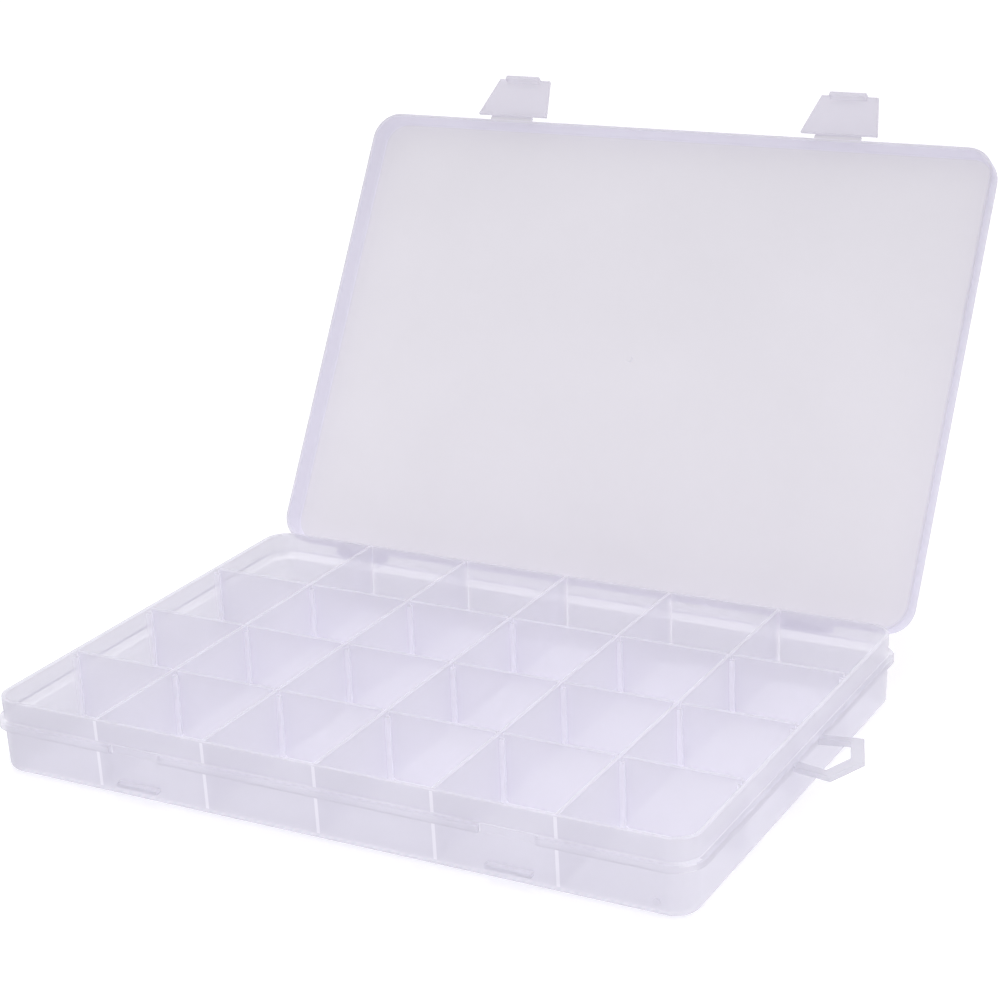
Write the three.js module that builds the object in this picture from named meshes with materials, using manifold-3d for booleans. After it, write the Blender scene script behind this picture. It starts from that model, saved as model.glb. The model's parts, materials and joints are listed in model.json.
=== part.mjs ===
// Compartment box for small parts: a shallow tray with fixed long dividers and lift-out cross dividers,
// and a lid on two clip hinges that two fold-over latches hold shut.
// Millimetres. +X runs along the long side, +Y towards the hinges, +Z up.
// The origin is the centre of the tray's flat underside. The lid stands open on its stops.
import * as THREE from "three";
import { mergeVertices } from "three/addons/utils/BufferGeometryUtils.js";
import Module from "manifold-3d";

const wasm = await Module();
wasm.setup();

// ---------------------------------------------------------------- driving dimensions

// tray
const innerLength = 190; // between the end walls, at the rim
const innerDepth = 130; // between the front and back walls, at the rim
const trayHeight = 20;
const wall = 1.0;
const floorThickness = 1.2;
const wallDraft = 0.6; // how far each wall leans in from rim to underside
const rimRadius = 6.8; // outer vertical corners at the rim
const footRadius = 2.0; // rounded edge between walls and underside
const ledgeTop = 14; // height of the ledge that the lid's skirt meets
const ledgeThickness = 2;
const ledgeReach = 1.3; // how far the ledge stands out from the rim's outline
const ledgeChamfer = 0.4;

// compartments
const columns = 6;
const rows = 4;
const longThickness = 0.9; // fixed dividers, front to back
const crossThickness = 0.9; // lift-out dividers
const slideClearance = 0.3; // round each lift-out divider
const guideWidth = 0.8; // ribs that form the slot of a lift-out divider
const guideReach = 1.2;
const guideDrop = 1.0; // from the rim down to the ribs' tops
const crossCornerCut = 1.2; // lower corners of a lift-out divider

// lid
const lidHeight = 7.5;
const lidWall = 0.9;
const lidTop = 1.0; // thickness of the lid's panel
const lidClearance = 0.3; // lid to rim, and lid to ledge
const lidDraft = 0.2;
const lidEdgeRadius = 1.5;
const openAngle = 121; // degrees from closed to the stops

// hinges: a pin across a notch in the lid's skirt, held by a clip on the tray
const hingePlace = 69; // from the middle of the box to each hinge
const clipLength = 12;
const clipWall = 0.95;
const pinRadius = 1.0;
const pinClearance = 0.15;
const clipMouth = 1.7; // gap that the pin snaps through
const hingeSetback = 1.5; // pin's axis behind the lid's skirt
const hingeRise = 0.7; // pin's axis above the lid's lower edge
const armThickness = 1.5;
const armHalfHeight = 0.95; // of a lid's arm, at the pin
const armRise = 2.0; // top of a lid's arm at the skirt, above the pin's axis
const notchGap = 0.7; // clip to notch, at each end and above
const stopReach = 5.4; // how far along the open lid's skirt the stop touches it
const stopDepth = 2.2; // thickness of the stop's heel

// latches
const latchPlace = 51.4; // from the middle of the box to each latch
const neckWidth = 13.8;
const neckLength = 1.5;
const neckThickness = 0.5; // thin web that the latch folds on
const flapBase = 22.8;
const flapTip = 16.8;
const flapLength = 12.8;
const flapThickness = 1.0;
const flapGap = 0.4; // folded flap to ledge
const latchTilt = 14; // degrees that a free latch leans back from the lid's plane
const hookWidth = 11;
const hookLength = 1.5;
const hookGap = 0.35; // hook to wall, and hook to catch
const catchWidth = 12;
const catchThickness = 1.2;
const latchNotchGap = 0.5; // latch's neck to the notch in the ledge

// hang loop, in the plane of the ledge
const loopThickness = 1.6;
const loopRoot = 9.3; // half width where it leaves the wall
const loopShoulder = 11.3; // half width at its shoulders
const loopShoulderReach = 11.1; // shoulders, from the rim's outline
const loopPeakReach = 15.4;
const loopBand = 3.0; // width of its sides
const loopShoulderBand = 2.25; // the hole's shoulders inside the loop's
const loopPeakBand = 3.5;

// smoothness of round shapes
const cornerSteps = 6;
const edgeSteps = 3;
const pinSides = 20;

const overshoot = 1; // how far a cutting solid runs past what it cuts
const mergeDistance = 1e-5; // corners closer than this are one corner

// ---------------------------------------------------------------- worked-out places

const halfLength = innerLength / 2 + wall;
const halfDepth = innerDepth / 2 + wall;
const ledgeLow = ledgeTop - ledgeThickness;
const ledgeHalfLength = halfLength + ledgeReach;
const ledgeHalfDepth = halfDepth + ledgeReach;
const columnPitch = innerLength / columns;
const rowPitch = innerDepth / rows;
const draftAtFloor = (wallDraft * (trayHeight - floorThickness)) / trayHeight;
const cavityFloorHalfLength = innerLength / 2 - draftAtFloor;

const lidLow = ledgeTop + lidClearance;
const lidHalfLength = halfLength + lidClearance + lidWall;
const lidHalfDepth = halfDepth + lidClearance + lidWall;
const lidRadius = rimRadius + lidClearance + lidWall;

const hingeAxis = new THREE.Vector3(0, lidHalfDepth + hingeSetback, lidLow + hingeRise);
const clipBore = pinRadius + pinClearance;
const clipRadius = clipBore + clipWall;

const latchAxis = new THREE.Vector3(
  0,
  -ledgeHalfDepth - flapGap - flapThickness / 2,
  lidLow + flapThickness / 2,
);
const flapStart = lidHalfDepth + neckLength + latchAxis.y; // from the fold line to the flap's wide end

// ---------------------------------------------------------------- solids

function toSolid(geometry) {
  const plain = geometry.index ? geometry.toNonIndexed() : geometry.clone();
  plain.deleteAttribute("normal");
  plain.deleteAttribute("uv");
  const merged = mergeVertices(plain, mergeDistance);
  return new wasm.Manifold(new wasm.Mesh({
    numProp: 3,
    vertProperties: new Float32Array(merged.attributes.position.array),
    triVerts: new Uint32Array(merged.index.array),
  }));
}

function toGeometry(solid) {
  const mesh = solid.getMesh();
  const geometry = new THREE.BufferGeometry();
  geometry.setAttribute("position", new THREE.BufferAttribute(mesh.vertProperties, 3));
  geometry.setIndex(new THREE.BufferAttribute(mesh.triVerts, 1));
  const faceted = geometry.toNonIndexed();
  faceted.computeVertexNormals();
  return faceted;
}

function joined(solids) {
  return solids.reduce((whole, piece) => whole.add(piece));
}

// a box between two corners
function block(low, high) {
  const size = new THREE.Vector3().subVectors(high, low);
  const middle = new THREE.Vector3().addVectors(low, high).multiplyScalar(0.5);
  const geometry = new THREE.BoxGeometry(size.x, size.y, size.z);
  geometry.translate(middle.x, middle.y, middle.z);
  return toSolid(geometry);
}

// an outline in the XY plane, thickened from low to high in Z
function slab(points, low, high) {
  const shape = new THREE.Shape(points);
  const geometry = new THREE.ExtrudeGeometry(shape, { depth: high - low, bevelEnabled: false });
  geometry.translate(0, 0, low);
  return toSolid(geometry);
}

// an outline in the YZ plane, thickened along X about a middle
function bar(points, middle, length) {
  const shape = new THREE.Shape(points);
  const geometry = new THREE.ExtrudeGeometry(shape, { depth: length, bevelEnabled: false });
  const turn = new THREE.Matrix4().makeBasis(
    new THREE.Vector3(0, 1, 0),
    new THREE.Vector3(0, 0, 1),
    new THREE.Vector3(1, 0, 0),
  );
  geometry.applyMatrix4(turn);
  geometry.translate(middle - length / 2, 0, 0);
  return toSolid(geometry);
}

// a rounded rectangle's outline at one height
function ring(halfX, halfY, radius, z) {
  const points = [];
  for (const [signX, signY, start] of [[1, 1, 0], [-1, 1, 90], [-1, -1, 180], [1, -1, 270]]) {
    for (let step = 0; step <= cornerSteps; step += 1) {
      const angle = THREE.MathUtils.degToRad(start + (90 * step) / cornerSteps);
      points.push(new THREE.Vector3(
        signX * (halfX - radius) + radius * Math.cos(angle),
        signY * (halfY - radius) + radius * Math.sin(angle),
        z,
      ));
    }
  }
  return points;
}

// a closed skin over rings of equal count, from the lowest to the highest
function loft(rings) {
  const count = rings[0].length;
  const index = [];
  for (let level = 0; level + 1 < rings.length; level += 1) {
    for (let i = 0; i < count; i += 1) {
      const a = level * count + i;
      const b = level * count + ((i + 1) % count);
      index.push(a, b, b + count, a, b + count, a + count);
    }
  }
  const top = (rings.length - 1) * count;
  for (let i = 1; i + 1 < count; i += 1) {
    index.push(0, i + 1, i, top, top + i, top + i + 1);
  }
  const geometry = new THREE.BufferGeometry().setFromPoints(rings.flat());
  geometry.setIndex(index);
  return toSolid(geometry);
}

// insets and rises of a quarter-round edge, from its flat side to its upright side
function quarterRound(radius) {
  const steps = [];
  for (let step = 0; step <= edgeSteps; step += 1) {
    const angle = ((Math.PI / 2) * step) / edgeSteps;
    steps.push({ inset: radius * (1 - Math.sin(angle)), rise: radius * (1 - Math.cos(angle)) });
  }
  return steps;
}

// ---------------------------------------------------------------- tray

function draftAt(z) {
  return (wallDraft * (trayHeight - z)) / trayHeight;
}

function trayRing(z, inset) {
  const lean = draftAt(z) + inset;
  return ring(halfLength - lean, halfDepth - lean, rimRadius - lean, z);
}

function trayOutside() {
  const foot = quarterRound(footRadius).map(({ inset, rise }) => trayRing(rise, inset));
  return loft([...foot, trayRing(trayHeight, 0)]);
}

function trayCavity() {
  const foot = quarterRound(footRadius - wall);
  return loft([
    ...foot.map(({ inset, rise }) => trayRing(floorThickness + rise, wall + inset)),
    trayRing(trayHeight + overshoot, wall),
  ]);
}

// the ledge's band, with its outer edges taken off
function ledge() {
  const ledgeRing = (z, inset) => ring(
    ledgeHalfLength - inset,
    ledgeHalfDepth - inset,
    rimRadius + ledgeReach - inset,
    z,
  );
  return loft([
    ledgeRing(ledgeLow, ledgeChamfer),
    ledgeRing(ledgeLow + ledgeChamfer, 0),
    ledgeRing(ledgeTop - ledgeChamfer, 0),
    ledgeRing(ledgeTop, ledgeChamfer),
  ]);
}

function latchNotch(place) {
  const half = neckWidth / 2 + latchNotchGap;
  return block(
    new THREE.Vector3(place - half, -ledgeHalfDepth - overshoot, ledgeLow - overshoot),
    new THREE.Vector3(place + half, -halfDepth, ledgeTop + overshoot),
  );
}

function columnLine(column) {
  return -innerLength / 2 + column * columnPitch;
}

function rowLine(row) {
  return -innerDepth / 2 + row * rowPitch;
}

// long dividers and guides run on into the walls and the floor; the cavity is what they leave
function longDivider(column) {
  const x = columnLine(column);
  return block(
    new THREE.Vector3(x - longThickness / 2, -innerDepth / 2 - wall / 2, floorThickness / 2),
    new THREE.Vector3(x + longThickness / 2, innerDepth / 2 + wall / 2, trayHeight),
  );
}

// two ribs, one each side of a row line, on a face of a long divider or of an end wall
function guidePair(faceX, sunk, direction, row) {
  const slotHalf = crossThickness / 2 + slideClearance;
  const root = faceX - direction * sunk;
  const tip = faceX + direction * guideReach;
  return [-1, 1].map((side) => {
    const near = rowLine(row) + side * slotHalf;
    const far = near + side * guideWidth;
    return block(
      new THREE.Vector3(Math.min(root, tip), Math.min(near, far), floorThickness / 2),
      new THREE.Vector3(Math.max(root, tip), Math.max(near, far), trayHeight - guideDrop),
    );
  });
}

function columnFaces(column) {
  const low = column === 0 ? -cavityFloorHalfLength : columnLine(column) + longThickness / 2;
  const high = column === columns - 1 ? cavityFloorHalfLength : columnLine(column + 1) - longThickness / 2;
  return [low, high];
}

function guides() {
  const ribs = [];
  const inWall = draftAtFloor + wall / 2;
  const inDivider = longThickness / 2;
  for (let column = 0; column < columns; column += 1) {
    const [low, high] = columnFaces(column);
    for (let row = 1; row < rows; row += 1) {
      ribs.push(...guidePair(low, column === 0 ? inWall : inDivider, 1, row));
      ribs.push(...guidePair(high, column === columns - 1 ? inWall : inDivider, -1, row));
    }
  }
  return ribs;
}

function circlePoints(centreY, centreZ, radius, sides) {
  const points = [];
  for (let i = 0; i < sides; i += 1) {
    const angle = (2 * Math.PI * (i + 0.5)) / sides;
    points.push(new THREE.Vector2(centreY + radius * Math.cos(angle), centreZ + radius * Math.sin(angle)));
  }
  return points;
}

// the heel that the open lid's skirt rests on, parallel to the skirt with a clearance
function stopHeel() {
  const angle = THREE.MathUtils.degToRad(openAngle);
  const along = new THREE.Vector2(Math.sin(angle), Math.cos(angle));
  const facing = new THREE.Vector2(-Math.cos(angle), Math.sin(angle));
  const place = (run, out) => new THREE.Vector2(hingeAxis.y, hingeAxis.z)
    .addScaledVector(along, run)
    .addScaledVector(facing, out);
  const face = hingeSetback - lidClearance;
  return [place(clipRadius, face), place(clipBore, face - stopDepth), place(stopReach, face - stopDepth),
    place(stopReach, face)];
}

function hingeClip(place) {
  const outer = bar(circlePoints(hingeAxis.y, hingeAxis.z, clipRadius, pinSides), place, clipLength);
  const bore = bar(circlePoints(hingeAxis.y, hingeAxis.z, clipBore, pinSides), place, clipLength + overshoot);
  const mouth = block(
    new THREE.Vector3(place - clipLength, hingeAxis.y - clipMouth / 2, hingeAxis.z),
    new THREE.Vector3(place + clipLength, hingeAxis.y + clipMouth / 2, hingeAxis.z + clipRadius + overshoot),
  );
  const foot = block(
    new THREE.Vector3(place - clipLength / 2, halfDepth - wall, ledgeLow),
    new THREE.Vector3(place + clipLength / 2, hingeAxis.y + clipRadius, hingeAxis.z - pinRadius),
  );
  const heel = bar(stopHeel(), place, clipLength);
  return joined([outer, foot, heel]).subtract(bore).subtract(mouth);
}

// the rib on the front wall that a latch's hook goes under
function latchCatch(place) {
  const hookTop = latchAxis.z - (flapStart + flapLength) + hookLength;
  const low = hookTop + hookGap;
  return block(
    new THREE.Vector3(place - catchWidth / 2, -ledgeHalfDepth, low),
    new THREE.Vector3(place + catchWidth / 2, -halfDepth + wall, low + catchThickness),
  );
}

function hangLoop() {
  const rootX = halfLength - wall;
  const shoulderX = halfLength + loopShoulderReach;
  const peakX = halfLength + loopPeakReach;
  const outline = [
    new THREE.Vector2(rootX, -loopRoot),
    new THREE.Vector2(shoulderX, -loopShoulder),
    new THREE.Vector2(peakX, 0),
    new THREE.Vector2(shoulderX, loopShoulder),
    new THREE.Vector2(rootX, loopRoot),
  ];
  const hole = [
    new THREE.Vector2(halfLength, -loopRoot + loopBand),
    new THREE.Vector2(shoulderX - loopShoulderBand, -loopShoulder + loopBand),
    new THREE.Vector2(peakX - loopPeakBand, 0),
    new THREE.Vector2(shoulderX - loopShoulderBand, loopShoulder - loopBand),
    new THREE.Vector2(halfLength, loopRoot - loopBand),
  ];
  const high = ledgeLow + loopThickness;
  return slab(outline, ledgeLow, high).subtract(slab(hole, ledgeLow - overshoot, high + overshoot));
}

function trayGeometry() {
  const partitions = guides();
  for (let column = 1; column < columns; column += 1) {
    partitions.push(longDivider(column));
  }
  let solid = trayOutside().add(ledge());
  const fittings = [hangLoop()];
  for (const side of [-1, 1]) {
    solid = solid.subtract(latchNotch(side * latchPlace));
    fittings.push(latchCatch(side * latchPlace), hingeClip(side * hingePlace));
  }
  solid = joined([solid, ...fittings]);
  return toGeometry(solid.subtract(trayCavity().subtract(joined(partitions))));
}

// ---------------------------------------------------------------- lift-out dividers

function crossDividerWidth() {
  const clearWidths = [...Array(columns).keys()].map((column) => {
    const [low, high] = columnFaces(column);
    return high - low;
  });
  return Math.min(...clearWidths) - 2 * slideClearance;
}

// a plate with its lower corners cut off, standing on the XZ plane about its own middle
function crossDividerGeometry() {
  const half = crossDividerWidth() / 2;
  const height = trayHeight - floorThickness - slideClearance;
  const outline = [
    new THREE.Vector2(-half + crossCornerCut, 0),
    new THREE.Vector2(half - crossCornerCut, 0),
    new THREE.Vector2(half, crossCornerCut),
    new THREE.Vector2(half, height),
    new THREE.Vector2(-half, height),
    new THREE.Vector2(-half, crossCornerCut),
  ];
  const geometry = new THREE.ExtrudeGeometry(new THREE.Shape(outline), {
    depth: crossThickness,
    bevelEnabled: false,
  });
  geometry.translate(0, 0, -crossThickness / 2);
  geometry.rotateX(Math.PI / 2);
  return geometry;
}

// ---------------------------------------------------------------- lid, drawn closed

function lidRing(z, inset) {
  const lean = (lidDraft * (z - lidLow)) / lidHeight + inset;
  return ring(lidHalfLength - lean, lidHalfDepth - lean, lidRadius - lean, z);
}

function lidShell() {
  const high = lidLow + lidHeight;
  const edge = quarterRound(lidEdgeRadius).reverse();
  const outside = loft([lidRing(lidLow, 0), ...edge.map(({ inset, rise }) => lidRing(high - rise, inset))]);
  const cavityHalfLength = lidHalfLength - lidWall;
  const cavityHalfDepth = lidHalfDepth - lidWall;
  const cavityRadius = lidRadius - lidWall;
  const cavity = loft([
    ring(cavityHalfLength, cavityHalfDepth, cavityRadius, lidLow - overshoot),
    ring(cavityHalfLength, cavityHalfDepth, cavityRadius, high - lidTop - lidDraft),
    ring(cavityHalfLength - lidDraft, cavityHalfDepth - lidDraft, cavityRadius - lidDraft, high - lidTop),
  ]);
  return outside.subtract(cavity);
}

function hingeNotch(place) {
  const half = clipLength / 2 + notchGap;
  return block(
    new THREE.Vector3(place - half, lidHalfDepth - lidWall - overshoot, lidLow - overshoot),
    new THREE.Vector3(place + half, lidHalfDepth + overshoot, hingeAxis.z + clipRadius + notchGap),
  );
}

// one arm that carries the pin, from the skirt to the pin's round end
function hingeArm(place) {
  const rootY = lidHalfDepth - lidWall / 2;
  const round = bar(circlePoints(hingeAxis.y, hingeAxis.z, pinRadius, pinSides), place, armThickness);
  const root = bar([
    new THREE.Vector2(rootY, lidLow),
    new THREE.Vector2(hingeAxis.y, hingeAxis.z - armHalfHeight),
    new THREE.Vector2(hingeAxis.y, hingeAxis.z + armHalfHeight),
    new THREE.Vector2(rootY, hingeAxis.z + armRise),
  ], place, armThickness);
  return round.add(root);
}

function hingePin(place) {
  const length = clipLength + 2 * notchGap + armThickness;
  return bar(circlePoints(hingeAxis.y, hingeAxis.z, pinRadius, pinSides), place, length);
}

// the thin web on the lid's edge, as far as the line that the latch folds on
function latchNeck(place) {
  return block(
    new THREE.Vector3(place - neckWidth / 2, latchAxis.y, latchAxis.z - neckThickness / 2),
    new THREE.Vector3(place + neckWidth / 2, -lidHalfDepth + lidWall / 2, latchAxis.z + neckThickness / 2),
  );
}

function lidGeometry() {
  let solid = lidShell();
  for (const side of [-1, 1]) {
    const hinge = side * hingePlace;
    const armOffset = clipLength / 2 + notchGap + armThickness / 2;
    solid = solid.subtract(hingeNotch(hinge));
    solid = joined([
      solid,
      hingeArm(hinge - armOffset),
      hingeArm(hinge + armOffset),
      hingePin(hinge),
      latchNeck(side * latchPlace),
    ]);
  }
  return toGeometry(solid).translate(0, -hingeAxis.y, -hingeAxis.z);
}

// ---------------------------------------------------------------- latch, flat, its fold line on the X axis

function latchGeometry() {
  const half = flapThickness / 2;
  const tipY = -(flapStart + flapLength);
  const flap = slab([
    new THREE.Vector2(-flapBase / 2, -flapStart),
    new THREE.Vector2(-flapTip / 2, tipY),
    new THREE.Vector2(flapTip / 2, tipY),
    new THREE.Vector2(flapBase / 2, -flapStart),
  ], -half, half);
  const frontWall = -(halfDepth - draftAt(0));
  const hookReach = frontWall - hookGap - latchAxis.y;
  const hook = block(
    new THREE.Vector3(-hookWidth / 2, tipY, -hookReach),
    new THREE.Vector3(hookWidth / 2, tipY + hookLength, 0),
  );
  return toGeometry(flap.add(hook));
}

// ---------------------------------------------------------------- assembly

const frosted = new THREE.MeshStandardMaterial({ color: 0xdedceb, roughness: 0.45, metalness: 0 });

function named(name, geometry) {
  const mesh = new THREE.Mesh(geometry, frosted);
  mesh.name = name;
  return mesh;
}

const group = new THREE.Group();
group.add(named("tray", trayGeometry()));

for (let row = 1; row < rows; row += 1) {
  for (let column = 0; column < columns; column += 1) {
    const [low, high] = columnFaces(column);
    const divider = named(`divider_row${row}_col${column + 1}`, crossDividerGeometry());
    divider.position.set((low + high) / 2, rowLine(row), floorThickness + slideClearance);
    group.add(divider);
  }
}

const lidGroup = new THREE.Group();
lidGroup.position.copy(hingeAxis);
lidGroup.rotation.x = -THREE.MathUtils.degToRad(openAngle);
lidGroup.add(named("lid", lidGeometry()));
group.add(lidGroup);

for (const [name, side] of [["latch_left", -1], ["latch_right", 1]]) {
  const latch = named(name, latchGeometry());
  latch.position.set(side * latchPlace, latchAxis.y - hingeAxis.y, latchAxis.z - hingeAxis.z);
  latch.rotation.x = -THREE.MathUtils.degToRad(latchTilt);
  lidGroup.add(latch);
}

export default group;
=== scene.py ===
"""Looks of the compartment box. Every CAD node is replaced by a finer mesh of the same size, with rounded
edges, in a frosted translucent plastic. Lengths in the geometry are millimetres, and angles are degrees."""
import json
import math

import bmesh
import bpy
from mathutils import Matrix, Vector

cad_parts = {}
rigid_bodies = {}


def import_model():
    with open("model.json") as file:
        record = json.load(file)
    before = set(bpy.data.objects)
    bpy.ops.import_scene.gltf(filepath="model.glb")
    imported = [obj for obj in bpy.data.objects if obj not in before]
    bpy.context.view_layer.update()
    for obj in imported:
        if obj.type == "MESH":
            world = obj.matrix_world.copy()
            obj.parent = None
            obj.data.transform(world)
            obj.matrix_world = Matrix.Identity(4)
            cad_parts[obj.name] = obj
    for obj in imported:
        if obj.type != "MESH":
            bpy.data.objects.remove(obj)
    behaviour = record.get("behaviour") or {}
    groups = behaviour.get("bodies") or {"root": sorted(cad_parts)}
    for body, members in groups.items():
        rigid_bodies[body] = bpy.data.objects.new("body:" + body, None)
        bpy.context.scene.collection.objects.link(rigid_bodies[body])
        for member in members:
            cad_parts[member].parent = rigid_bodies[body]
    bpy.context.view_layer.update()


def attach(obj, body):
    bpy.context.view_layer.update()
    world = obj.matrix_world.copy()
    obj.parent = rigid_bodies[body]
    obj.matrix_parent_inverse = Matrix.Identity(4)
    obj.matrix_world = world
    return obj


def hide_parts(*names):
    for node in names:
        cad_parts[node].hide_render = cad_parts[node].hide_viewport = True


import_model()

MM = 0.001

# ---------------------------------------------------------------- sizes, as in the CAD

INNER_LENGTH = 190.0
INNER_DEPTH = 130.0
TRAY_HEIGHT = 20.0
WALL = 1.0
FLOOR = 1.2
WALL_DRAFT = 0.6
RIM_RADIUS = 6.8
FOOT_RADIUS = 2.0
LEDGE_TOP = 14.0
LEDGE_LOW = 12.0
LEDGE_REACH = 1.3

COLUMNS = 6
ROWS = 4
LONG_THICKNESS = 0.9
CROSS_THICKNESS = 0.9
SLIDE_CLEARANCE = 0.3
GUIDE_WIDTH = 0.8
GUIDE_REACH = 1.2
GUIDE_DROP = 1.0
CORNER_CUT = 1.2

LID_HEIGHT = 7.5
LID_WALL = 0.9
LID_TOP = 1.0
LID_CLEARANCE = 0.3
LID_DRAFT = 0.2
LID_EDGE_RADIUS = 1.5
OPEN_ANGLE = 121.0

HINGE_PLACE = 69.0
CLIP_LENGTH = 12.0
CLIP_WALL = 0.95
PIN_RADIUS = 1.0
PIN_CLEARANCE = 0.15
CLIP_MOUTH = 1.7
HINGE_SETBACK = 1.5
HINGE_RISE = 0.7
ARM_THICKNESS = 1.5
NOTCH_GAP = 0.7
STOP_REACH = 5.4
STOP_DEPTH = 2.2

LATCH_PLACE = 51.4
NECK_WIDTH = 13.8
NECK_LENGTH = 1.5
NECK_THICKNESS = 0.5
FILM_THICKNESS = 0.4
FLAP_BASE = 22.8
FLAP_TIP = 16.8
FLAP_LENGTH = 12.8
FLAP_THICKNESS = 1.0
FLAP_GAP = 0.4
LATCH_TILT = 14.0
HOOK_WIDTH = 11.0
HOOK_LENGTH = 1.5
HOOK_GAP = 0.35
CATCH_WIDTH = 12.0
CATCH_THICKNESS = 1.2
LATCH_NOTCH_GAP = 0.5

LOOP_THICKNESS = 1.6
LOOP_ROOT = 9.3
LOOP_SHOULDER = 11.3
LOOP_SHOULDER_REACH = 11.1
LOOP_PEAK_REACH = 15.4
LOOP_BAND = 3.0
LOOP_SHOULDER_BAND = 2.25
LOOP_PEAK_BAND = 3.5

CORNER_STEPS = 12
ROUND_STEPS = 4  # in a rounding of less than a millimetre
WIDE_STEPS = 6  # in a wider one
ARM_STEPS = 10
FILM_STEPS = 8
BEVEL_STEPS = 3
MARK_SIDES = 24
PIN_SIDES = 32

# how far the edges of each part are rounded
FINE_EDGE = 0.05  # pins and the latches' films
NECK_EDGE = 0.1
SMALL_EDGE = 0.12  # clips, hinge arms and the mark on the wall
BLOCK_EDGE = 0.15  # the clips' feet and heels, and the mark on the lid
RIB_EDGE = 0.18
DIVIDER_EDGE = 0.2
PLATE_EDGE = 0.22
FLAP_EDGE = 0.25
SOFT_EDGE = 0.3  # notches, catches, hooks and the loop

# how far a part is sunk into what carries it, and how far a cut runs past what it cuts
SUNK_FLOOR = 1.0
SUNK_WALL = 0.4
SUNK = 0.1
JUST_INSIDE = 0.02
CUT_PAST = 1.0

# ---------------------------------------------------------------- worked-out places

HALF_LENGTH = INNER_LENGTH / 2 + WALL
HALF_DEPTH = INNER_DEPTH / 2 + WALL
COLUMN_PITCH = INNER_LENGTH / COLUMNS
ROW_PITCH = INNER_DEPTH / ROWS
LID_LOW = LEDGE_TOP + LID_CLEARANCE
LID_HIGH = LID_LOW + LID_HEIGHT
LID_HALF_LENGTH = HALF_LENGTH + LID_CLEARANCE + LID_WALL
LID_HALF_DEPTH = HALF_DEPTH + LID_CLEARANCE + LID_WALL
LID_RADIUS = RIM_RADIUS + LID_CLEARANCE + LID_WALL
HINGE_Y = LID_HALF_DEPTH + HINGE_SETBACK
HINGE_Z = LID_LOW + HINGE_RISE
CLIP_BORE = PIN_RADIUS + PIN_CLEARANCE
CLIP_RADIUS = CLIP_BORE + CLIP_WALL
LATCH_Y = -(HALF_DEPTH + LEDGE_REACH) - FLAP_GAP - FLAP_THICKNESS / 2
LATCH_Z = LID_LOW + FLAP_THICKNESS / 2
FLAP_START = LID_HALF_DEPTH + NECK_LENGTH + LATCH_Y

OPENING = (
    Matrix.Translation((0, HINGE_Y, HINGE_Z))
    @ Matrix.Rotation(-math.radians(OPEN_ANGLE), 4, "X")
    @ Matrix.Translation((0, -HINGE_Y, -HINGE_Z))
)

# ---------------------------------------------------------------- mesh helpers


def draft_at(z):
    """How far the tray's walls have leaned in at a height."""
    return WALL_DRAFT * (TRAY_HEIGHT - z) / TRAY_HEIGHT


def ring(half_x, half_y, radius, z, stops=()):
    """A rounded rectangle's outline at one height, with extra points at stops along its front and back."""
    points = []
    for sign_x, sign_y, start in ((1, 1, 0), (-1, 1, 90), (-1, -1, 180), (1, -1, 270)):
        for step in range(CORNER_STEPS + 1):
            angle = math.radians(start + 90 * step / CORNER_STEPS)
            points.append(Vector((
                sign_x * (half_x - radius) + radius * math.cos(angle),
                sign_y * (half_y - radius) + radius * math.sin(angle),
                z,
            )))
        if sign_x == sign_y:
            points += [Vector((-sign_y * x, sign_y * half_y, z)) for x in stops]
    return points


def skin(rings):
    """A closed mesh over rings of equal count, flat at both ends."""
    mesh = bmesh.new()
    levels = [[mesh.verts.new(point) for point in level] for level in rings]
    count = len(levels[0])
    for low, high in zip(levels, levels[1:]):
        for i in range(count):
            j = (i + 1) % count
            mesh.faces.new((low[i], low[j], high[j], high[i]))
    mesh.faces.new(list(reversed(levels[0])))
    mesh.faces.new(levels[-1])
    return mesh


def arc(centre_u, centre_v, radius, start, end, steps=ROUND_STEPS):
    """Points round part of a circle, angles in degrees."""
    points = []
    for step in range(steps + 1):
        angle = math.radians(start + (end - start) * step / steps)
        points.append((centre_u + radius * math.cos(angle), centre_v + radius * math.sin(angle)))
    return points


def circle(centre_u, centre_v, radius, sides=MARK_SIDES):
    """Points round a whole circle."""
    return arc(centre_u, centre_v, radius, 0, 360 - 360 / sides, sides - 1)


AXES = {
    "XY": lambda u, v, w: (u, v, w),
    "YZ": lambda u, v, w: (w, u, v),
    "XZ": lambda u, v, w: (u, w, v),
}


def prism(outline, low, high, plane, edge, hole=None):
    """An outline thickened from low to high across its plane, all its sharp edges rounded.
    A hole has as many points as the outline."""
    mesh = bmesh.new()
    place = AXES[plane]
    count = len(outline)
    ends = []
    for depth in (low, high):
        outer = [mesh.verts.new(place(u, v, depth)) for u, v in outline]
        inner = [mesh.verts.new(place(u, v, depth)) for u, v in hole] if hole else None
        ends.append((outer, inner))
    for i in range(count):
        j = (i + 1) % count
        for loop in (0, 1) if hole else (0,):
            first, second = ends[0][loop], ends[1][loop]
            mesh.faces.new((first[i], first[j], second[j], second[i]))
        if hole:
            for outer, inner in ends:
                mesh.faces.new((outer[i], outer[j], inner[j], inner[i]))
    if not hole:
        for outer, _ in ends:
            mesh.faces.new(outer)
    bmesh.ops.recalc_face_normals(mesh, faces=mesh.faces)
    round_edges(mesh, edge)
    return mesh


SHARP_ANGLE = 25.0
ROUND_PROFILE = 0.5


def round_edges(mesh, edge):
    """Rounds every sharp edge."""
    sharp = [e for e in mesh.edges if e.calc_face_angle(0) > math.radians(SHARP_ANGLE)]
    bmesh.ops.bevel(mesh, geom=sharp, offset=edge, offset_type="OFFSET", segments=BEVEL_STEPS,
                    profile=ROUND_PROFILE, affect="EDGES", clamp_overlap=True)


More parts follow.
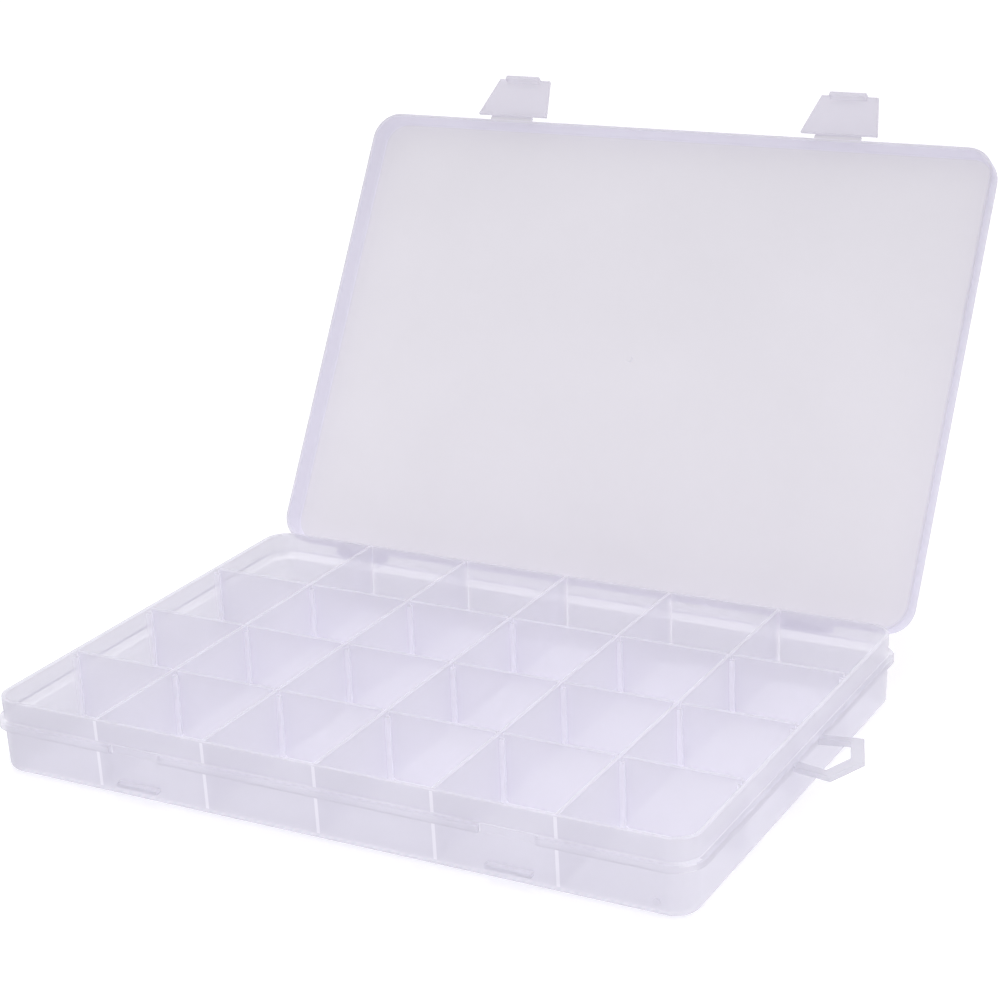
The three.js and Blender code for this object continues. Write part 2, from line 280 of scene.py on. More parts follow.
def box(low, high, edge):
    """A box between two opposite corners."""
    outline = [(low[0], low[1]), (high[0], low[1]), (high[0], high[1]), (low[0], high[1])]
    return prism(outline, low[2], high[2], "XY", edge)


def to_object(name, mesh, matrix=None):
    """A millimetre mesh as an object in metres."""
    bmesh.ops.recalc_face_normals(mesh, faces=mesh.faces)
    if matrix is not None:
        mesh.transform(matrix)
    mesh.transform(Matrix.Scale(MM, 4))
    data = bpy.data.meshes.new(name)
    mesh.to_mesh(data)
    mesh.free()
    made = bpy.data.objects.new(name, data)
    bpy.context.scene.collection.objects.link(made)
    return made


def combine(base, meshes, operation, matrix=None):
    """Joins meshes to an object, or cuts them from it, and leaves one clean mesh."""
    tools = bpy.data.collections.new("tools")
    bpy.context.scene.collection.children.link(tools)
    for mesh in meshes:
        tool = to_object("tool", mesh, matrix)
        bpy.context.scene.collection.objects.unlink(tool)
        tools.objects.link(tool)
    modifier = base.modifiers.new("combine", "BOOLEAN")
    modifier.operation = operation
    modifier.operand_type = "COLLECTION"
    modifier.collection = tools
    modifier.solver = "EXACT"
    graph = bpy.context.evaluated_depsgraph_get()
    result = bpy.data.meshes.new_from_object(base.evaluated_get(graph))
    base.modifiers.clear()
    base.data = result
    for tool in list(tools.objects):
        bpy.data.objects.remove(tool)
    bpy.data.collections.remove(tools)


NARROW_FACE = 1.55  # a face narrower than this is an edge,
TAPER = 0.4  # unless one end of it is narrower than this share of the other
MOSTLY = 0.8  # a side whose direction rises more than this is upright
FLAT = 0.95  # a face whose normal rises or falls more than this is flat
SHADING_ANGLE = 40.0


def edge_direction(face, data):
    """The direction of a face's longest side, and whether the face is narrow enough to be an edge."""
    corners = [data.vertices[i].co for i in face.vertices]
    sides = [end - start for start, end in zip(corners, corners[1:] + corners[:1])]
    sides.sort(key=lambda side: side.length)
    longest = sides[-1]
    tapered = len(sides) == 3 or (len(sides) == 4 and sides[0].length < TAPER * sides[1].length)
    return longest.normalized(), not tapered and face.area / longest.length < NARROW_FACE * MM


def paint_light_and_shade(piece, tone):
    """Gives each face a number for the light and shade painted on its plastic, from -1 for the darkest
    painted shade to 1 for the whitest painted highlight. The function tone works it out from the face's
    middle, its normal, the direction of its longest side and whether it is an edge, where a painted
    highlight and glow stand for light that runs inside the plastic and comes out."""
    data = piece.data
    # the attribute edge carries the painted light and shade: below 0 painted shade, above 0 painted
    # highlights and glow
    layer = data.attributes.new("edge", "FLOAT", "FACE")
    values = [tone(face.center / MM, face.normal, *edge_direction(face, data)) for face in data.polygons]
    layer.data.foreach_set("value", values)


def finish_piece(piece, body, nodes, material):
    """Smooth shading, material, body and the CAD nodes that the piece stands for."""
    piece.data.materials.clear()
    piece.data.materials.append(material)
    piece.data.shade_smooth()
    piece.data.set_sharp_from_angle(angle=math.radians(SHADING_ANGLE))
    weights = piece.modifiers.new("normals", "WEIGHTED_NORMAL")
    weights.keep_sharp = True
    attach(piece, body)
    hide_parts(*nodes)


# ---------------------------------------------------------------- tray


def tray_shell():
    """The tray's walls and floor with the ledge round them, as one skin from the underside to the floor."""
    rim_round = 0.38
    ledge_round = 0.35
    fillet_below = 0.25
    fillet_above = 0.2
    inner_round = FOOT_RADIUS - WALL
    profile = []
    for inset, z in arc(FOOT_RADIUS, FOOT_RADIUS, FOOT_RADIUS, 270, 180, WIDE_STEPS):
        profile.append((draft_at(z) + inset, z))
    profile.append((draft_at(LEDGE_LOW - fillet_below), LEDGE_LOW - fillet_below))
    profile.append((draft_at(LEDGE_LOW) - fillet_below, LEDGE_LOW))
    for inset, z in arc(-LEDGE_REACH + ledge_round, LEDGE_LOW + ledge_round, ledge_round, 270, 180):
        profile.append((inset, z))
    for inset, z in arc(-LEDGE_REACH + ledge_round, LEDGE_TOP - ledge_round, ledge_round, 180, 90):
        profile.append((inset, z))
    profile.append((draft_at(LEDGE_TOP) - fillet_above, LEDGE_TOP))
    profile.append((draft_at(LEDGE_TOP), LEDGE_TOP + fillet_above))
    for inset, z in arc(rim_round, TRAY_HEIGHT - rim_round, rim_round, 180, 90):
        profile.append((inset, z))
    for inset, z in arc(WALL - rim_round, TRAY_HEIGHT - rim_round, rim_round, 90, 0):
        profile.append((inset, z))
    for inset, z in arc(inner_round, FLOOR + inner_round, inner_round, 180, 270):
        profile.append((WALL + draft_at(z) + inset, z))
    stops = []
    for column in range(1, COLUMNS):
        stops += [column_line(column) - LONG_THICKNESS / 2, column_line(column) + LONG_THICKNESS / 2]
    rings = [ring(HALF_LENGTH - d, HALF_DEPTH - d, RIM_RADIUS - d, z, stops) for d, z in profile]
    return skin(rings)


def column_line(column):
    return -INNER_LENGTH / 2 + column * COLUMN_PITCH


def row_line(row):
    return -INNER_DEPTH / 2 + row * ROW_PITCH


def long_divider(column):
    """The fixed divider before a column, sunk into the floor and the walls."""
    x = column_line(column)

    def end(z):
        return INNER_DEPTH / 2 - draft_at(z) + SUNK_WALL

    outline = [(-end(SUNK_FLOOR), SUNK_FLOOR), (end(SUNK_FLOOR), SUNK_FLOOR),
               (end(TRAY_HEIGHT), TRAY_HEIGHT), (-end(TRAY_HEIGHT), TRAY_HEIGHT)]
    return prism(outline, x - LONG_THICKNESS / 2, x + LONG_THICKNESS / 2, "YZ", DIVIDER_EDGE)


def column_faces(column):
    """The places across the box of the two faces that a column's compartments lie between."""
    floor_half = INNER_LENGTH / 2 - draft_at(FLOOR)
    low = -floor_half if column == 0 else column_line(column) + LONG_THICKNESS / 2
    high = floor_half if column == COLUMNS - 1 else column_line(column + 1) - LONG_THICKNESS / 2
    return low, high


def guide_ribs():
    """The ribs each side of every lift-out divider's ends."""
    ribs = []
    slot_half = CROSS_THICKNESS / 2 + SLIDE_CLEARANCE
    high = TRAY_HEIGHT - GUIDE_DROP
    for column in range(COLUMNS):
        faces = column_faces(column)
        for direction, face, at_wall in ((1, faces[0], column == 0), (-1, faces[1], column == COLUMNS - 1)):
            tip = face + direction * GUIDE_REACH

            def root(z):
                if at_wall:
                    return -direction * (INNER_LENGTH / 2 - draft_at(z) + SUNK_WALL)
                return face - direction * LONG_THICKNESS / 3

            for row in range(1, ROWS):
                for side in (-1, 1):
                    near = row_line(row) + side * slot_half
                    far = near + side * GUIDE_WIDTH
                    outline = [(root(SUNK_FLOOR), SUNK_FLOOR), (tip, SUNK_FLOOR),
                               (tip, high), (root(high), high)]
                    ribs.append(prism(outline, min(near, far), max(near, far), "XZ", RIB_EDGE))
    return ribs


def hang_loop():
    """The loop on the right side, a bent band round an open middle."""
    root = HALF_LENGTH - WALL / 2
    shoulder = HALF_LENGTH + LOOP_SHOULDER_REACH
    peak = HALF_LENGTH + LOOP_PEAK_REACH
    outline = [(root, -LOOP_ROOT), (shoulder, -LOOP_SHOULDER), (peak, 0), (shoulder, LOOP_SHOULDER),
               (root, LOOP_ROOT)]
    inner = shoulder - LOOP_SHOULDER_BAND
    hole = [(HALF_LENGTH, -LOOP_ROOT + LOOP_BAND), (inner, -LOOP_SHOULDER + LOOP_BAND),
            (peak - LOOP_PEAK_BAND, 0), (inner, LOOP_SHOULDER - LOOP_BAND),
            (HALF_LENGTH, LOOP_ROOT - LOOP_BAND)]
    return prism(outline, LEDGE_LOW, LEDGE_LOW + LOOP_THICKNESS, "XY", SOFT_EDGE, hole)


def hinge_clip(place):
    """The open clip that holds a hinge pin."""
    gap = math.degrees(math.asin(CLIP_MOUTH / 2 / CLIP_BORE))
    outer_gap = math.degrees(math.asin(CLIP_MOUTH / 2 / CLIP_RADIUS))
    outline = arc(HINGE_Y, HINGE_Z, CLIP_RADIUS, 90 + outer_gap, 450 - outer_gap, PIN_SIDES)
    outline += arc(HINGE_Y, HINGE_Z, CLIP_BORE, 450 - gap, 90 + gap, PIN_SIDES)
    return prism(outline, place - CLIP_LENGTH / 2, place + CLIP_LENGTH / 2, "YZ", SMALL_EDGE)


def clip_foot(place):
    """The block that carries a clip, from the wall to the clip's lower side."""
    high = HINGE_Z - CLIP_BORE - CLIP_WALL / 3
    return box((place - CLIP_LENGTH / 2, HALF_DEPTH - WALL / 2, LEDGE_LOW + JUST_INSIDE),
               (place + CLIP_LENGTH / 2, HINGE_Y + CLIP_RADIUS - SUNK, high), BLOCK_EDGE)


def clip_heel(place):
    """The stop that the open lid's skirt rests on."""
    angle = math.radians(OPEN_ANGLE)
    face = HINGE_SETBACK - LID_CLEARANCE

    def at(run, out):
        return (HINGE_Y + math.sin(angle) * run - math.cos(angle) * out,
                HINGE_Z + math.cos(angle) * run + math.sin(angle) * out)

    outline = [at(CLIP_RADIUS, face), at(CLIP_BORE + SUNK, face - STOP_DEPTH),
               at(STOP_REACH, face - STOP_DEPTH), at(STOP_REACH, face)]
    return prism(outline, place - CLIP_LENGTH / 2, place + CLIP_LENGTH / 2, "YZ", BLOCK_EDGE)


def latch_catch(place):
    """The ridge low on the front wall that a latch's hook snaps under."""
    hook_top = LATCH_Z - (FLAP_START + FLAP_LENGTH) + HOOK_LENGTH
    low = hook_top + HOOK_GAP
    return box((place - CATCH_WIDTH / 2, -HALF_DEPTH - LEDGE_REACH, low),
               (place + CATCH_WIDTH / 2, -HALF_DEPTH + WALL, low + CATCH_THICKNESS), SOFT_EDGE)


def latch_notch(place):
    """The cut in the ledge at a latch, a little wider than its neck."""
    half = NECK_WIDTH / 2 + LATCH_NOTCH_GAP
    return box((place - half, -HALF_DEPTH - 3 * CUT_PAST, LEDGE_LOW - CUT_PAST),
               (place + half, -HALF_DEPTH, LEDGE_TOP + CUT_PAST), SOFT_EDGE)


def wall_mark():
    """The small round mark low on the front wall's right end."""
    radius = 1.0
    from_end = 8.5
    height = 3.75
    proud = 0.2
    sunk = 0.3
    face = -(HALF_DEPTH - draft_at(height))
    outline = circle(HALF_LENGTH - from_end, height, radius)
    return prism(outline, face - proud, face + sunk, "XZ", SMALL_EDGE)


STEP_OUT = 0.2  # what lies this far beyond the walls belongs to the ledge
STEEP = 0.5  # a face whose normal rises or falls less than this belongs to a wall
# painted light and shade on the tray's faces, from -1 for the darkest painted shade to 1 for the whitest
# painted highlight
FRONT_PAINTED_SHADE = -0.48
PAINTED_LIGHT_SHARE = 0.6  # how much less painted shade the right wall has than the front wall, as painted light from the right
SHADED_TONE = -0.7
LEDGE_PAINTED_SHADE = -0.45
LOOP_PAINTED_SHADE = -0.45
CLIP_PAINTED_LIGHT = 0.3
RIM_PAINTED_HIGHLIGHT = 0.45
UPRIGHT_PAINTED_HIGHLIGHT = 0.6
FRONT_LINE_PAINTED_HIGHLIGHT = 0.38


def tray_light_and_shade(middle, normal, direction, is_edge):
    """Painted shade on the ledge, the loop and the outsides, darkest at the left and low at the back,
    painted light on the hinge clips, and painted highlights on the edges.
    """
    x, y, z = middle
    # painted shade on the loop and the ledge, painted light on the hinge clips behind the back wall
    if abs(x) > HALF_LENGTH + LEDGE_REACH:
        return LOOP_PAINTED_SHADE
    if y > HALF_DEPTH + STEP_OUT:
        return CLIP_PAINTED_LIGHT
    if abs(x) > HALF_LENGTH + STEP_OUT or y < -HALF_DEPTH - STEP_OUT:
        return LEDGE_PAINTED_SHADE
    corner = abs(x) > HALF_LENGTH - RIM_RADIUS and abs(y) > HALF_DEPTH - RIM_RADIUS
    upright = abs(direction.z) > MOSTLY
    outward = normal.x * x + normal.y * y > 0
    foot = outward and z < FOOT_RADIUS and normal.z < 0
    at_wall = abs(x) > INNER_LENGTH / 2 - WALL or abs(y) > INNER_DEPTH / 2 - WALL
    # painted highlights on the edges
    if is_edge and not foot and not (corner and upright):
        line = FRONT_LINE_PAINTED_HIGHLIGHT if at_wall and outward else UPRIGHT_PAINTED_HIGHLIGHT
        return RIM_PAINTED_HIGHLIGHT * direction.y ** 2 + line * direction.z ** 2
    # painted shade on the outsides, lighter towards the right wall and darkest at the left and low at the
    # back
    if foot or (at_wall and outward and abs(normal.z) < STEEP):
        back = normal.y if z < LEDGE_LOW else 0.0
        in_shade = max(0.0, -normal.x, back)
        front = FRONT_PAINTED_SHADE * (1 - PAINTED_LIGHT_SHARE * max(0.0, normal.x))
        return front + (SHADED_TONE - FRONT_PAINTED_SHADE) * in_shade
    return 0.0


def make_tray(material):
    """The tray's moulding with all that is moulded on it, and its small mark."""
    tray = to_object("tray_moulding", tray_shell())
    sides = (-1, 1)
    combine(tray, [latch_notch(side * LATCH_PLACE) for side in sides], "DIFFERENCE")
    parts = [long_divider(column) for column in range(1, COLUMNS)] + guide_ribs() + [hang_loop()]
    for side in sides:
        parts.append(hinge_clip(side * HINGE_PLACE))
        parts.append(clip_foot(side * HINGE_PLACE))
        parts.append(clip_heel(side * HINGE_PLACE))
        parts.append(latch_catch(side * LATCH_PLACE))
    combine(tray, parts, "UNION")
    paint_light_and_shade(tray, tray_light_and_shade)
    finish_piece(tray, "tray", ["tray"], material)
    mark = to_object("tray_mark", wall_mark())
    finish_piece(mark, "tray", ["tray"], material)


# ---------------------------------------------------------------- lift-out dividers


# the painted highlight on the plates' top edges
PLATE_TOP_PAINTED_HIGHLIGHT = 0.35


def divider_width():
    """The width that fits every column, so that any divider fits any slot."""
    widths = [column_faces(column)[1] - column_faces(column)[0] for column in range(COLUMNS)]
    return min(widths) - 2 * SLIDE_CLEARANCE


def plate_painted_highlights(middle, normal, direction, is_edge):
    """Painted highlights on the edges, brightest at the two ends."""
    if not is_edge:
        return 0.0
    return UPRIGHT_PAINTED_HIGHLIGHT if abs(direction.z) > MOSTLY else PLATE_TOP_PAINTED_HIGHLIGHT


def make_dividers(material):
    """One plate for each lift-out divider, its lower corners cut."""
    half = divider_width() / 2
    low = FLOOR + SLIDE_CLEARANCE
    high = TRAY_HEIGHT
    for row in range(1, ROWS):
        for column in range(COLUMNS):
            name = f"divider_row{row}_col{column + 1}"
            middle = sum(column_faces(column)) / 2
            outline = [(middle - half + CORNER_CUT, low), (middle + half - CORNER_CUT, low),
                       (middle + half, low + CORNER_CUT), (middle + half, high),
                       (middle - half, high), (middle - half, low + CORNER_CUT)]
            y = row_line(row)
            plate = prism(outline, y - CROSS_THICKNESS / 2, y + CROSS_THICKNESS / 2, "XZ", PLATE_EDGE)
            piece = to_object(f"plate_row{row}_col{column + 1}", plate)
            paint_light_and_shade(piece, plate_painted_highlights)
            finish_piece(piece, name, [name], material)


# ---------------------------------------------------------------- lid


def lid_shell():
    """The lid as one skin, from the underside of its panel, round the skirt, to the top of its panel."""
    inner_round = 0.8
    lip_round = 0.3
    ceiling = LID_HIGH - LID_TOP

    def lean(z):
        return LID_DRAFT * (z - LID_LOW) / LID_HEIGHT

    profile = []
    for inset, z in arc(LID_WALL + inner_round, ceiling - inner_round, inner_round, 90, 180):
        profile.append((inset, z))
    for inset, z in arc(LID_WALL - lip_round, LID_LOW + lip_round, lip_round, 0, -90):
        profile.append((inset, z))
    for inset, z in arc(lip_round, LID_LOW + lip_round, lip_round, 270, 180):
        profile.append((inset, z))
    edge = LID_EDGE_RADIUS
    for inset, z in arc(edge, LID_HIGH - edge, edge, 180, 90, WIDE_STEPS):
        profile.append((inset + lean(z), z))
    return skin([
        ring(LID_HALF_LENGTH - d, LID_HALF_DEPTH - d, LID_RADIUS - d, z) for d, z in profile
    ])


def hinge_notch(place):
    """The cut in the skirt that makes room for a clip."""
    half = CLIP_LENGTH / 2 + NOTCH_GAP
    return box((place - half, LID_HALF_DEPTH - LID_WALL - CUT_PAST, LID_LOW - CUT_PAST),
               (place + half, LID_HALF_DEPTH + CUT_PAST, HINGE_Z + CLIP_RADIUS + NOTCH_GAP), SOFT_EDGE)


ARM_ARC = 80.0


def hinge_arm(place):
    """One of the two arms that carry a pin, rounded round its end."""
    root = LID_HALF_DEPTH - LID_WALL / 2
    outline = [(root, LID_LOW + JUST_INSIDE)]
    outline += arc(HINGE_Y, HINGE_Z, PIN_RADIUS, -ARM_ARC, ARM_ARC, ARM_STEPS)
    outline += [(root, HINGE_Z + 2 * PIN_RADIUS)]
    return prism(outline, place - ARM_THICKNESS / 2, place + ARM_THICKNESS / 2, "YZ", SMALL_EDGE)


PIN_SHARE = 0.98  # the pin is this much thinner than the arms' round ends


def hinge_pin(place):
    """The pin between two arms."""
    half = CLIP_LENGTH / 2 + NOTCH_GAP + ARM_THICKNESS / 2
    outline = circle(HINGE_Y, HINGE_Z, PIN_RADIUS * PIN_SHARE, PIN_SIDES)
    return prism(outline, place - half, place + half, "YZ", FINE_EDGE)


def latch_neck(place):
    """The web from the skirt to a latch's fold line."""
    return box((place - NECK_WIDTH / 2, LATCH_Y, LATCH_Z - NECK_THICKNESS / 2),
               (place + NECK_WIDTH / 2, -LID_HALF_DEPTH + LID_WALL / 2, LATCH_Z + NECK_THICKNESS / 2),
               NECK_EDGE)


def gate_mark():
    """The small round mark that the moulding gate leaves in the middle of the panel."""
    radius = 0.9
    proud = 0.25
    sunk = 0.2
    ceiling = LID_HIGH - LID_TOP
    return prism(circle(0, 0, radius), ceiling - proud, ceiling + sunk, "XY", BLOCK_EDGE)


# painted light on the lid's skirt and edges: a bluer tone and a faint glow
SKIRT_PAINTED_GLOW = 0.5


def lid_painted_glow(middle, normal, direction, is_edge):
    """A bluer painted tone with a faint painted glow, the same all over except for the flat panel, which
    has neither.
    """
    return 0.0 if abs(normal.z) > FLAT else SKIRT_PAINTED_GLOW


def make_lid(material):
    """The lid, made shut and then opened to its stops."""
    lid = to_object("lid_moulding", lid_shell())
    sides = (-1, 1)
    combine(lid, [hinge_notch(side * HINGE_PLACE) for side in sides], "DIFFERENCE")
    offset = CLIP_LENGTH / 2 + NOTCH_GAP + ARM_THICKNESS / 2
    parts = [gate_mark()]
    for side in sides:
        place = side * HINGE_PLACE
        parts += [hinge_arm(place - offset), hinge_arm(place + offset), hinge_pin(place)]
        parts.append(latch_neck(side * LATCH_PLACE))
    combine(lid, parts, "UNION")
    paint_light_and_shade(lid, lid_painted_glow)
    lid.data.transform(Matrix.Scale(MM, 4) @ OPENING @ Matrix.Scale(1 / MM, 4))
    finish_piece(lid, "lid", ["lid"], material)


# ---------------------------------------------------------------- latches


def latch_film():
    """The thin film that a latch folds on, from its round end on the fold line to the flap."""
    half = FILM_THICKNESS / 2
    outline = arc(0, 0, half, 90, -90, FILM_STEPS)
    outline += [(-FLAP_START - half, -half), (-FLAP_START - half, half)]
    return prism(outline, -NECK_WIDTH / 2 + half, NECK_WIDTH / 2 - half, "YZ", FINE_EDGE)


def make_latch(name, place, material):
    """A tapering flap with its hook and film, made flat at the origin and turned to its place at rest."""
    half = FLAP_THICKNESS / 2
    tip = -(FLAP_START + FLAP_LENGTH)
    outline = [(-FLAP_BASE / 2, -FLAP_START), (-FLAP_TIP / 2, tip),
               (FLAP_TIP / 2, tip), (FLAP_BASE / 2, -FLAP_START)]
    turn = (
        OPENING
        @ Matrix.Translation((place, LATCH_Y, LATCH_Z))
        @ Matrix.Rotation(-math.radians(LATCH_TILT), 4, "X")
    )
    latch = to_object(name + "_flap", prism(outline, -half, half, "XY", FLAP_EDGE), turn)
    front_wall = -(HALF_DEPTH - draft_at(0))
    reach = front_wall - HOOK_GAP - LATCH_Y
    hook = box((-HOOK_WIDTH / 2, tip + JUST_INSIDE / 2, -reach),
               (HOOK_WIDTH / 2, tip + HOOK_LENGTH, SUNK), SOFT_EDGE)
    combine(latch, [hook, latch_film()], "UNION", turn)
    finish_piece(latch, name, [name], material)


# ---------------------------------------------------------------- materials

# the colour of the whitest painted highlights
PAINTED_HIGHLIGHT_COLOUR = (0.98, 0.975, 1.0)
PAINTED_SHADE_SHARE = (0.58, 0.57, 0.64)  # what the darkest painted shade leaves of the tint
# how strongly the whitest painted highlights glow
PAINTED_GLOW = 0.15
# the height, in metres, at which the painted shade with height is full
FADE_HIGH = 0.14
CLOUD_SCALE = 24.0
CLOUD_DETAIL = 4.0
CLOUD_DARKEST = 0.965
CLOUD_LIGHTEST = 1.035
GRAIN_SCALE = 2400.0
GRAIN_DETAIL = 2.0
GRAIN_STRENGTH = 0.06
GRAIN_HEIGHT = 0.00003
SMOOTHEST = 0.3
ROUGHEST = 0.46
PLASTIC_IOR = 1.49
THROUGH_SHARE = 0.4  # how much of the scattered light comes out on the other side


def map_range(nodes, links, source, low, high, from_low=0.0, from_high=1.0):
    """A node that carries a factor over to a range between two numbers."""
    node = nodes.new("ShaderNodeMapRange")
    node.inputs["From Min"].default_value = from_low
    node.inputs["From Max"].default_value = from_high
    node.inputs["To Min"].default_value = low
    node.inputs["To Max"].default_value = high
    links.new(source, node.inputs["Value"])
    return node.outputs["Result"]


def noise(nodes, links, place, scale, detail):
    """A soft random pattern between 0 and 1."""
    node = nodes.new("ShaderNodeTexNoise")
    node.inputs["Scale"].default_value = scale
    node.inputs["Detail"].default_value = detail
    links.new(place, node.inputs["Vector"])
    return node.outputs["Fac"]


def tone_colour(nodes, links, edge, tint, bright):
    """The colour of a tone: the darkest painted shade at -1, the plastic's own tint at 0, the whitest
    painted highlight at 1.
    """
    tones = nodes.new("ShaderNodeValToRGB")
    ramp = tones.color_ramp
    ramp.elements[0].color = (*[dark * channel for dark, channel in zip(PAINTED_SHADE_SHARE, tint)], 1)
    ramp.elements[1].color = (*bright, 1)
    ramp.elements.new(0.5).color = (*tint, 1)
    links.new(map_range(nodes, links, edge, 0.0, 1.0, -1.0), tones.inputs["Fac"])
    return tones.outputs["Color"]


def cloudy_colour_with_painted_shade(nodes, links, place, colour, fade):
    """A colour made slightly cloudy, with painted shade that darkens it with height."""
    split = nodes.new("ShaderNodeSeparateXYZ")
    links.new(place, split.inputs["Vector"])
    cloud = noise(nodes, links, place, CLOUD_SCALE, CLOUD_DETAIL)
    uneven = nodes.new("ShaderNodeMath")
    uneven.operation = "MULTIPLY"
    links.new(map_range(nodes, links, cloud, CLOUD_DARKEST, CLOUD_LIGHTEST), uneven.inputs[0])
    links.new(map_range(nodes, links, split.outputs["Z"], 1.0, fade, 0.0, FADE_HIGH), uneven.inputs[1])
    scaled = nodes.new("ShaderNodeVectorMath")
    scaled.operation = "SCALE"
    links.new(colour, scaled.inputs[0])
    links.new(uneven.outputs["Value"], scaled.inputs["Scale"])
    return scaled.outputs["Vector"]


def grained_surface(nodes, links, place, shader):
    """Gives a surface a fine grain, in its height and in its roughness."""
    grain = noise(nodes, links, place, GRAIN_SCALE, GRAIN_DETAIL)
    bump = nodes.new("ShaderNodeBump")
    bump.inputs["Strength"].default_value = GRAIN_STRENGTH
    bump.inputs["Distance"].default_value = GRAIN_HEIGHT
    links.new(grain, bump.inputs["Height"])
    links.new(map_range(nodes, links, grain, SMOOTHEST, ROUGHEST), shader.inputs["Roughness"])
    links.new(bump.outputs["Normal"], shader.inputs["Normal"])


def mixed(nodes, links, first, second):
    """Two surfaces mixed, and the input for the share of the second."""
    mix = nodes.new("ShaderNodeMixShader")
    links.new(first, mix.inputs[1])
    links.new(second, mix.inputs[2])
    return mix.outputs["Shader"], mix.inputs["Fac"]


def frosted(name, tint, body, edge_body, passed, bright=PAINTED_HIGHLIGHT_COLOUR, fade=1.0):
    """Frosted translucent polypropylene, with light and shade painted into its colour. body is the share of
    light that each surface scatters, edge_body the same where the painted light or shade is fullest, and
    passed is the colour of the light that goes straight through. bright is the colour of the whitest
    painted highlights and of the painted glow on the edges. fade is the painted shade with height: how
    bright the plastic is at the height FADE_HIGH, in metres, beside its full brightness at the bottom."""
    material = bpy.data.materials.new(name)
    material.use_nodes = True
    material.cycles.emission_sampling = "NONE"
    nodes = material.node_tree.nodes
    links = material.node_tree.links
    shader = nodes["Principled BSDF"]
    place = nodes.new("ShaderNodeTexCoord").outputs["Object"]
    attribute = nodes.new("ShaderNodeAttribute")
    attribute.attribute_name = "edge"
    edge = attribute.outputs["Fac"]
    colour = cloudy_colour_with_painted_shade(nodes, links, place, tone_colour(nodes, links, edge, tint, bright), fade)

    grained_surface(nodes, links, place, shader)
    # painted glow: faces with painted highlights give off light in the colour bright, as if lit from inside
    glow = map_range(nodes, links, edge, 0.0, PAINTED_GLOW)
    links.new(colour, shader.inputs["Base Color"])
    links.new(glow, shader.inputs["Emission Strength"])
    shader.inputs["Emission Color"].default_value = (*bright, 1)
    shader.inputs["IOR"].default_value = PLASTIC_IOR
    through = nodes.new("ShaderNodeBsdfTranslucent")
    links.new(colour, through.inputs["Color"])
    scatter, through_share = mixed(nodes, links, shader.outputs["BSDF"], through.outputs["BSDF"])
    through_share.default_value = THROUGH_SHARE

    clear = nodes.new("ShaderNodeBsdfTransparent")
    clear.inputs["Color"].default_value = (*passed, 1)
    size = nodes.new("ShaderNodeMath")
    size.operation = "ABSOLUTE"
    links.new(edge, size.inputs[0])
    whole, scattered_share = mixed(nodes, links, clear.outputs["BSDF"], scatter)
    links.new(map_range(nodes, links, size.outputs["Value"], body, edge_body), scattered_share)
    links.new(whole, nodes["Material Output"].inputs["Surface"])
    return material


# ---------------------------------------------------------------- light, floor and camera


FLOOR_SIZE = 60.0
FLOOR_GAP = 0.0003
FLOOR_WHITE = 0.9
FLOOR_ROUGHNESS = 0.9
FLOOR_GLOW = 0.27


def make_floor():
    """A wide white floor just under the tray."""
    bpy.ops.mesh.primitive_plane_add(size=FLOOR_SIZE, location=(0, 0, -FLOOR_GAP))
    floor = bpy.context.object
    floor.name = "floor"
    material = bpy.data.materials.new("floor")
    material.use_nodes = True
    shader = material.node_tree.nodes["Principled BSDF"]
    shader.inputs["Base Color"].default_value = (FLOOR_WHITE, FLOOR_WHITE, FLOOR_WHITE, 1)
    shader.inputs["Roughness"].default_value = FLOOR_ROUGHNESS
    shader.inputs["Specular IOR Level"].default_value = 0.0
    shader.inputs["Emission Color"].default_value = (1, 1, 1, 1)
    shader.inputs["Emission Strength"].default_value = FLOOR_GLOW
    floor.data.materials.append(material)


SKY_COLOUR = (0.97, 0.965, 1.0)
SKY_LOW = 0.42
SKY_HIGH = 1.18
SOFTBOX_POWER = 1.0
SOFTBOX_SIZE = 1.2
SOFTBOX_PLACE = (-0.1, 0.0, 1.4)


def make_light():
    """A white sky, brightest overhead, and a softbox above the tray."""
    world = bpy.data.worlds.new("studio")
    bpy.context.scene.world = world
    world.use_nodes = True
    nodes = world.node_tree.nodes
    links = world.node_tree.links
    background = nodes["Background"]
    background.inputs["Color"].default_value = (*SKY_COLOUR, 1)
    split = nodes.new("ShaderNodeSeparateXYZ")
    links.new(nodes.new("ShaderNodeTexCoord").outputs["Generated"], split.inputs["Vector"])
    strength = map_range(nodes, links, split.outputs["Z"], SKY_LOW, SKY_HIGH)
    links.new(strength, background.inputs["Strength"])
    lamp = bpy.data.lights.new("softbox_above", "AREA")
    lamp.energy = SOFTBOX_POWER
    lamp.size = SOFTBOX_SIZE
    softbox = bpy.data.objects.new("softbox_above", lamp)
    softbox.location = SOFTBOX_PLACE
    bpy.context.scene.collection.objects.link(softbox)


CAMERA_AZIMUTH = 28.97
CAMERA_ELEVATION = 19.31
CAMERA_ROLL = -2.31
CAMERA_ACROSS = 0.01174
CAMERA_UP = 0.06016
CAMERA_DISTANCE = 0.61615
CAMERA_LENS = 85.82
SENSOR_WIDTH = 36.0
NEAREST_SEEN = 0.01


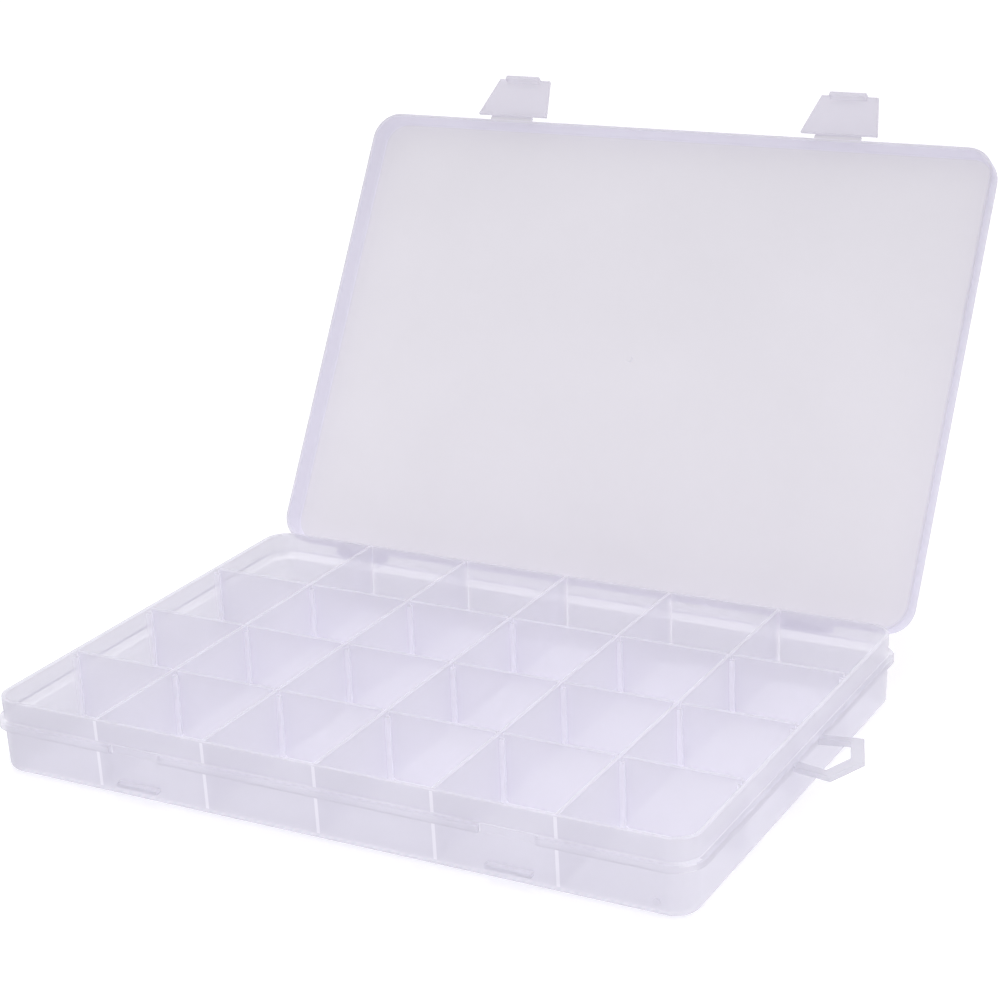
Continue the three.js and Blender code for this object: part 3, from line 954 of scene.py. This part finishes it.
def make_camera():
    """The camera, from the direction it looks from, its roll, and how far off and aside it stands."""
    azimuth, elevation, roll = (math.radians(a) for a in (CAMERA_AZIMUTH, CAMERA_ELEVATION, CAMERA_ROLL))
    back = Vector((
        math.sin(azimuth) * math.cos(elevation),
        -math.cos(azimuth) * math.cos(elevation),
        math.sin(elevation),
    ))
    level = Vector((0, 0, 1)).cross(back).normalized()
    upright = back.cross(level)
    right = level * math.cos(roll) + upright * math.sin(roll)
    up = upright * math.cos(roll) - level * math.sin(roll)
    data = bpy.data.cameras.new("camera")
    data.lens = CAMERA_LENS
    data.sensor_width = SENSOR_WIDTH
    data.clip_start = NEAREST_SEEN
    camera = bpy.data.objects.new("camera", data)
    camera.matrix_world = Matrix((right, up, back)).transposed().to_4x4()
    camera.location = right * CAMERA_ACROSS + up * CAMERA_UP + back * CAMERA_DISTANCE
    bpy.context.scene.collection.objects.link(camera)
    bpy.context.scene.camera = camera


# ---------------------------------------------------------------- scene

TINT = (0.945, 0.935, 0.96)
PASSED = (0.975, 0.973, 0.99)

tray_plastic = frosted("tray_plastic", tint=TINT, body=0.38, edge_body=0.6, passed=PASSED)
divider_plastic = frosted("divider_plastic", tint=TINT, body=0.34, edge_body=0.52, passed=PASSED)
# the lid's darker tint and passed colour are painted shade on the tray's own plastic, and it darkens
# towards its top as painted shade; its bright is a darker, bluer colour for the painted tone and glow of
# its skirt
lid_plastic = frosted(
    "lid_plastic", tint=(0.915, 0.90, 0.93), body=0.55, edge_body=0.7,
    passed=(0.94, 0.93, 0.947), bright=(0.84, 0.822, 0.97), fade=0.88,
)
# the latches' still darker tint and passed colour are painted shade on the lid's own plastic
latch_plastic = frosted(
    "latch_plastic", tint=(0.775, 0.755, 0.815), body=0.5, edge_body=0.65,
    passed=(0.92, 0.91, 0.935), bright=(0.88, 0.87, 0.94),
)

make_tray(tray_plastic)
make_dividers(divider_plastic)
make_lid(lid_plastic)
for latch_name, latch_side in (("latch_left", -1), ("latch_right", 1)):
    make_latch(latch_name, latch_side * LATCH_PLACE, latch_plastic)

make_floor()
make_light()
make_camera()
bpy.context.scene.view_settings.view_transform = "Standard"
cycles = bpy.context.scene.cycles
cycles.max_bounces = 10
cycles.transmission_bounces = 8
cycles.diffuse_bounces = 8
cycles.glossy_bounces = 3
cycles.transparent_max_bounces = 24
